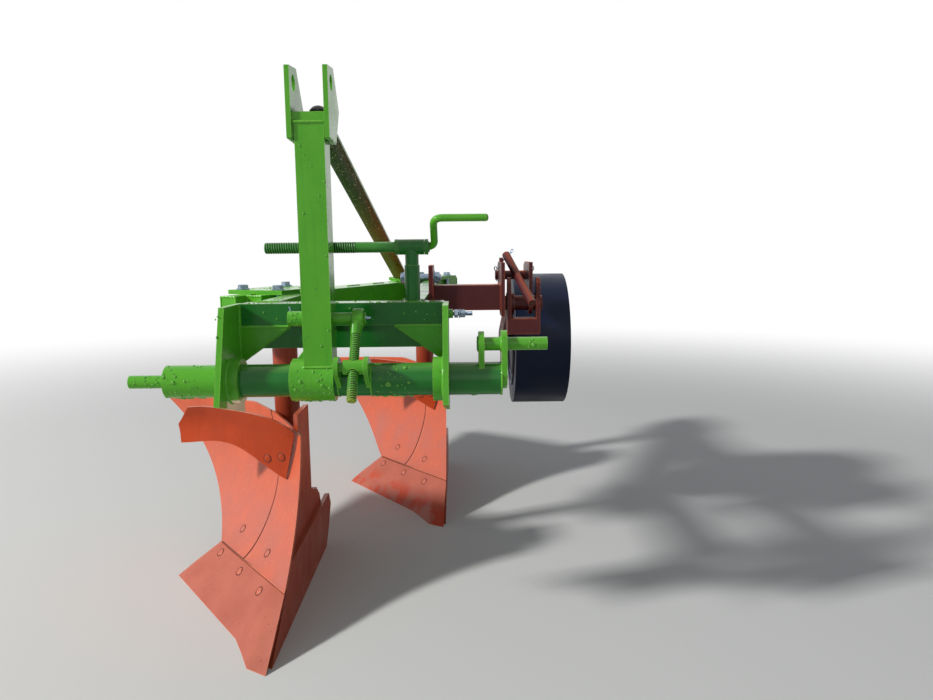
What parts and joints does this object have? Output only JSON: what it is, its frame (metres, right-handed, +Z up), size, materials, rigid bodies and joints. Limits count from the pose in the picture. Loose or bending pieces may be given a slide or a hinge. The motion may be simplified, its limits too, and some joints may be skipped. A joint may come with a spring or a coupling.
{
  "type": "mounted moldboard plough",
  "caption": "Mounted moldboard plough with side-shift headstock, cranked cross shaft, oblique beam, curved bodies and a trailing depth wheel.",
  "frame": {"origin": "centre of the plough's ground plan, on the ground it stands on", "axes": "+X to the land side, +Y to the rear against the direction of travel, +Z up"},
  "size_m": [1.304, 1.7408, 1.263],
  "materials": {
    "green_enamel": "gloss",
    "orange_enamel": "satin",
    "dark_enamel": "satin",
    "zinc_steel": "satin",
    "bare_steel": "rough"
  },
  "bodies": {
    "frame": {"beam_tube_left": "green_enamel", "beam_tube_right": "green_enamel", "front_beam": "green_enamel", "side_plate_left": "green_enamel", "side_plate_right": "green_enamel", "corner_gussets": "green_enamel", "link_left": "green_enamel", "link_right": "green_enamel", "spindle_post": "green_enamel", "shift_spindle": "green_enamel", "shift_crank": "green_enamel", "clamp_plate_front": "green_enamel", "clamp_plate_rear": "green_enamel", "leg_front": "orange_enamel", "leg_rear": "orange_enamel", "frog_front": "orange_enamel", "frog_rear": "orange_enamel", "landside_front": "orange_enamel", "landside_rear": "orange_enamel", "share_front": "orange_enamel", "share_rear": "orange_enamel", "shin_front": "orange_enamel", "shin_rear": "orange_enamel", "moldboard_front": "orange_enamel", "moldboard_rear": "orange_enamel", "trashboard_front": "orange_enamel", "trashboard_rear": "orange_enamel", "brace_foot": "green_enamel", "wheel_beam": "orange_enamel", "wheel_bracket": "orange_enamel"},
    "headstock": {"mast": "green_enamel", "mast_sleeve": "green_enamel", "link_cheeks": "green_enamel", "link_shelf": "green_enamel", "brace_pin": "bare_steel", "cross_pin": "green_enamel", "levelling_screw": "zinc_steel", "spindle_nut": "green_enamel"},
    "cross_shaft": {"hitch_shaft": "green_enamel", "crank_cheeks": "green_enamel", "crank_pin": "green_enamel", "screw_ears": "green_enamel"},
    "screw_trunnion": {"trunnion": "green_enamel"},
    "top_brace": {"brace": "green_enamel"},
    "wheel_arm": {"swing_arm": "orange_enamel"},
    "depth_wheel": {"wheel": "dark_enamel", "wheel_hub": "dark_enamel"}
  },
  "joints": [
    {"name": "side_shift", "type": "slide", "parent": "frame", "child": "headstock", "axis": [1, 0, 0], "range_m": [-0.04, 0.04]},
    {"name": "levelling", "type": "hinge", "parent": "headstock", "child": "cross_shaft", "pos_m": [0.012, -0.7606, 0.618], "axis": [1, 0, 0], "range_deg": [-10, 10]},
    {"name": "trunnion_turn", "type": "hinge", "parent": "cross_shaft", "child": "screw_trunnion", "pos_m": [0.09, -0.8186, 0.654], "axis": [1, 0, 0], "range_deg": [-10, 10]},
    {"name": "brace_swing", "type": "hinge", "parent": "frame", "child": "top_brace", "pos_m": [0.10743, 0.41923, 0.787], "axis": [0, 0, 1], "range_deg": [-2.5, 2.5]},
    {"name": "depth_setting", "type": "hinge", "parent": "frame", "child": "wheel_arm", "pos_m": [0.012, -0.3056, 0.745], "axis": [1, 0, 0], "range_deg": [-32, 8]},
    {"name": "wheel_turn", "type": "hinge", "parent": "wheel_arm", "child": "depth_wheel", "pos_m": [0.5605, 0.06783, 0.60165], "axis": [1, 0, 0], "continuous": true}
  ],
  "couplings": [
    {"joint": "trunnion_turn", "follows": "levelling", "ratio": -1},
    {"joint": "brace_swing", "follows": "side_shift", "rad_per_m": 0.9076}
  ]
}
